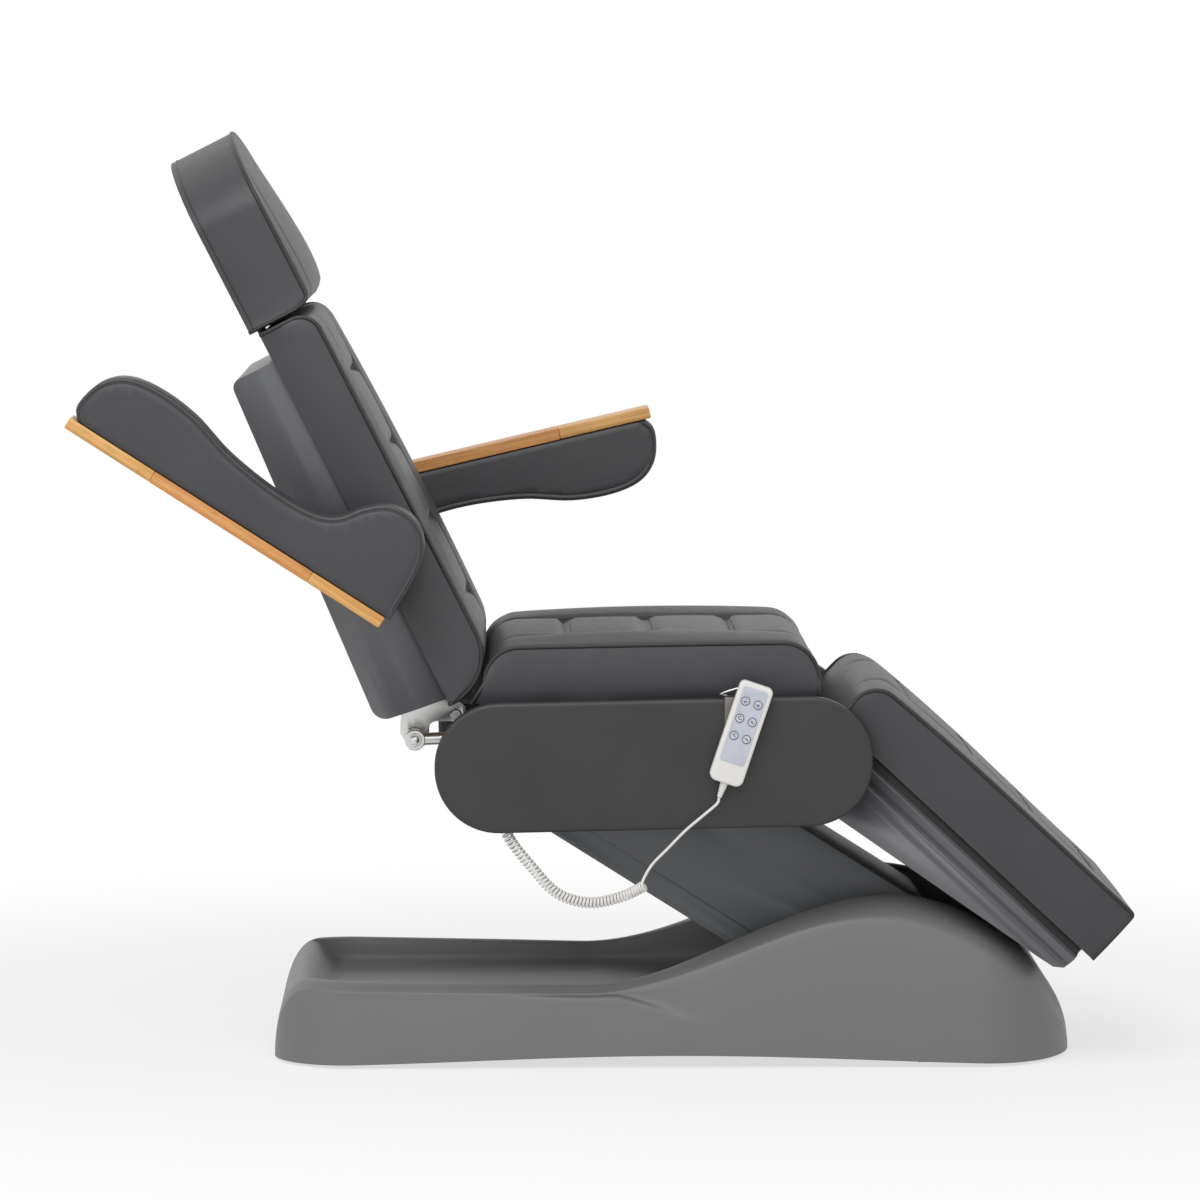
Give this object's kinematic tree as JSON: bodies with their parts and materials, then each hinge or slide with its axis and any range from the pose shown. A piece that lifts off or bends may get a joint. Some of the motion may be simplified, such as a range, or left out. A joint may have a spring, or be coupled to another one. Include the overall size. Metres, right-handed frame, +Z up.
{
  "type": "electric treatment chair",
  "caption": "Powered salon treatment chair with a moulded base, parallelogram lift, padded seat, reclining back, sliding headrest, swing-up armrests, leg rest and a corded handset.",
  "frame": {"origin": "on the floor, below the middle of the chair's box", "axes": "+X along the chair to the feet, +Y to the sitter's left, +Z up"},
  "size_m": [1.5308, 0.758, 1.3498],
  "materials": {
    "base_plastic": "satin",
    "cover_plastic": "satin",
    "arm_cover_plastic": "satin",
    "painted_steel": "satin",
    "zinc_steel": "satin",
    "skid_rubber": "matte",
    "motor_plastic": "satin",
    "board_wood": "matte",
    "oak": "satin",
    "grey_vinyl": "satin",
    "handset_plastic": "satin",
    "overlay_film": "satin",
    "key_film": "satin",
    "cord_plastic": "satin"
  },
  "bodies": {
    "base": {"base_cover": "base_plastic", "base_plate": "painted_steel", "base_upright_left": "painted_steel", "base_upright_right": "painted_steel", "lift_shaft_lower": "zinc_steel", "rear_arm_shaft_lower": "zinc_steel", "skid_front": "skid_rubber", "skid_rear": "skid_rubber"},
    "lift_front": {"lift_arm_front": "arm_cover_plastic"},
    "lift_rear": {"lift_arm_rear": "arm_cover_plastic"},
    "lift_motor": {"lift_motor": "motor_plastic"},
    "lift_rod": {"lift_rod": "zinc_steel"},
    "seat": {"seat_cheek_left": "painted_steel", "seat_cheek_right": "painted_steel", "lift_shaft_upper": "zinc_steel", "rear_arm_shaft_upper": "zinc_steel", "seat_board": "board_wood", "seat_cushion": "grey_vinyl", "side_panel_left": "grey_vinyl", "side_panel_right": "grey_vinyl", "back_hinge_shaft": "zinc_steel", "leg_hinge_shaft": "zinc_steel", "control_box": "motor_plastic", "cord_gland": "motor_plastic", "handset_hook": "zinc_steel", "handset_case_front": "handset_plastic", "handset_case_rear": "handset_plastic", "keypad_overlay": "overlay_film", "handset_boot": "handset_plastic", "handset_cord": "cord_plastic"},
    "key_lift_up": {"key_lift_up": "key_film"},
    "key_lift_down": {"key_lift_down": "key_film"},
    "key_back_up": {"key_back_up": "key_film"},
    "key_back_down": {"key_back_down": "key_film"},
    "key_leg_up": {"key_leg_up": "key_film"},
    "key_leg_down": {"key_leg_down": "key_film"},
    "back": {"back_plate_left": "zinc_steel", "back_plate_right": "zinc_steel", "back_board": "board_wood", "back_cushion": "grey_vinyl", "back_cover": "cover_plastic", "lever_bolt": "zinc_steel", "arm_stud_left": "zinc_steel", "arm_stud_right": "zinc_steel"},
    "back_motor": {"back_motor": "motor_plastic"},
    "back_rod": {"back_rod": "zinc_steel"},
    "head": {"head_post": "zinc_steel", "head_board": "grey_vinyl", "head_cushion": "grey_vinyl"},
    "arm_right": {"armrest_pad_right": "grey_vinyl", "armrest_wood_right": "oak"},
    "arm_left": {"armrest_pad_left": "grey_vinyl", "armrest_wood_left": "oak"},
    "leg": {"leg_plate_left": "zinc_steel", "leg_plate_right": "zinc_steel", "leg_board": "board_wood", "leg_cushion": "grey_vinyl", "leg_cover": "cover_plastic"},
    "leg_motor": {"leg_motor": "motor_plastic"},
    "leg_rod": {"leg_rod": "zinc_steel"}
  },
  "joints": [
    {"name": "lift_raise", "type": "hinge", "parent": "base", "child": "lift_front", "pos_m": [0.43, 0, 0.16], "axis": [0, 1, 0], "range_deg": [0, 34]},
    {"name": "lift_rear_turn", "type": "hinge", "parent": "base", "child": "lift_rear", "pos_m": [0.321, 0, 0.1], "axis": [0, 1, 0], "range_deg": [0, 34]},
    {"name": "seat_level", "type": "hinge", "parent": "lift_front", "child": "seat", "pos_m": [-0.01002, 0, 0.4371], "axis": [0, 1, 0], "range_deg": [-34, 0]},
    {"name": "lift_motor_tilt", "type": "hinge", "parent": "base", "child": "lift_motor", "pos_m": [0.321, 0, 0.1], "axis": [0, 1, 0], "range_deg": [0, 34.5]},
    {"name": "lift_rod_tilt", "type": "hinge", "parent": "seat", "child": "lift_rod", "pos_m": [-0.01002, 0, 0.4371], "axis": [0, 1, 0], "range_deg": [0, 34.5]},
    {"name": "back_recline", "type": "hinge", "parent": "seat", "child": "back", "pos_m": [-0.21202, 0, 0.5051], "axis": [0, -1, 0], "range_deg": [0, 63]},
    {"name": "back_motor_tilt", "type": "hinge", "parent": "seat", "child": "back_motor", "pos_m": [0.19998, -0.19, 0.4881], "axis": [0, -1, 0], "range_deg": [0, 6]},
    {"name": "back_rod_tilt", "type": "hinge", "parent": "back", "child": "back_rod", "pos_m": [-0.272, -0.19, 0.47105], "axis": [0, -1, 0], "range_deg": [-58, 0]},
    {"name": "head_slide", "type": "slide", "parent": "back", "child": "head", "axis": [-0.454, 0, 0.891], "range_m": [0, 0.07]},
    {"name": "arm_right_swing", "type": "hinge", "parent": "back", "child": "arm_right", "pos_m": [-0.3445, 0, 0.75409], "axis": [0, 1, 0], "range_deg": [0, 134.1]},
    {"name": "arm_left_swing", "type": "hinge", "parent": "back", "child": "arm_left", "pos_m": [-0.3445, 0, 0.75409], "axis": [0, -1, 0], "range_deg": [0, 134.1]},
    {"name": "leg_raise", "type": "hinge", "parent": "seat", "child": "leg", "pos_m": [0.32598, 0, 0.4891], "axis": [0, -1, 0], "range_deg": [0, 43]},
    {"name": "leg_motor_tilt", "type": "hinge", "parent": "seat", "child": "leg_motor", "pos_m": [-0.06002, 0.19, 0.4901], "axis": [0, -1, 0], "range_deg": [0, 1.3]},
    {"name": "leg_rod_tilt", "type": "hinge", "parent": "leg", "child": "leg_rod", "pos_m": [0.29995, 0.19, 0.41807], "axis": [0, -1, 0], "range_deg": [-42, 0]},
    {"name": "key_lift_up_press", "type": "slide", "parent": "seat", "child": "key_lift_up", "axis": [0, 1, 0], "range_m": [0, 0.0008], "stiffness_N_per_m": 300, "springref_m": -0.002},
    {"name": "key_lift_down_press", "type": "slide", "parent": "seat", "child": "key_lift_down", "axis": [0, 1, 0], "range_m": [0, 0.0008], "stiffness_N_per_m": 300, "springref_m": -0.002},
    {"name": "key_back_up_press", "type": "slide", "parent": "seat", "child": "key_back_up", "axis": [0, 1, 0], "range_m": [0, 0.0008], "stiffness_N_per_m": 300, "springref_m": -0.002},
    {"name": "key_back_down_press", "type": "slide", "parent": "seat", "child": "key_back_down", "axis": [0, 1, 0], "range_m": [0, 0.0008], "stiffness_N_per_m": 300, "springref_m": -0.002},
    {"name": "key_leg_up_press", "type": "slide", "parent": "seat", "child": "key_leg_up", "axis": [0, 1, 0], "range_m": [0, 0.0008], "stiffness_N_per_m": 300, "springref_m": -0.002},
    {"name": "key_leg_down_press", "type": "slide", "parent": "seat", "child": "key_leg_down", "axis": [0, 1, 0], "range_m": [0, 0.0008], "stiffness_N_per_m": 300, "springref_m": -0.002}
  ],
  "couplings": [
    {"joint": "lift_rear_turn", "follows": "lift_raise", "ratio": 1},
    {"joint": "seat_level", "follows": "lift_raise", "ratio": -1},
    {"joint": "lift_motor_tilt", "follows": "lift_raise", "ratio": 1.0075},
    {"joint": "lift_rod_tilt", "follows": "lift_raise", "ratio": 1.0075},
    {"joint": "back_motor_tilt", "follows": "back_recline", "ratio": 0.0919},
    {"joint": "back_rod_tilt", "follows": "back_recline", "ratio": -0.9081},
    {"joint": "leg_motor_tilt", "follows": "leg_raise", "ratio": 0.028},
    {"joint": "leg_rod_tilt", "follows": "leg_raise", "ratio": -0.972}
  ]
}
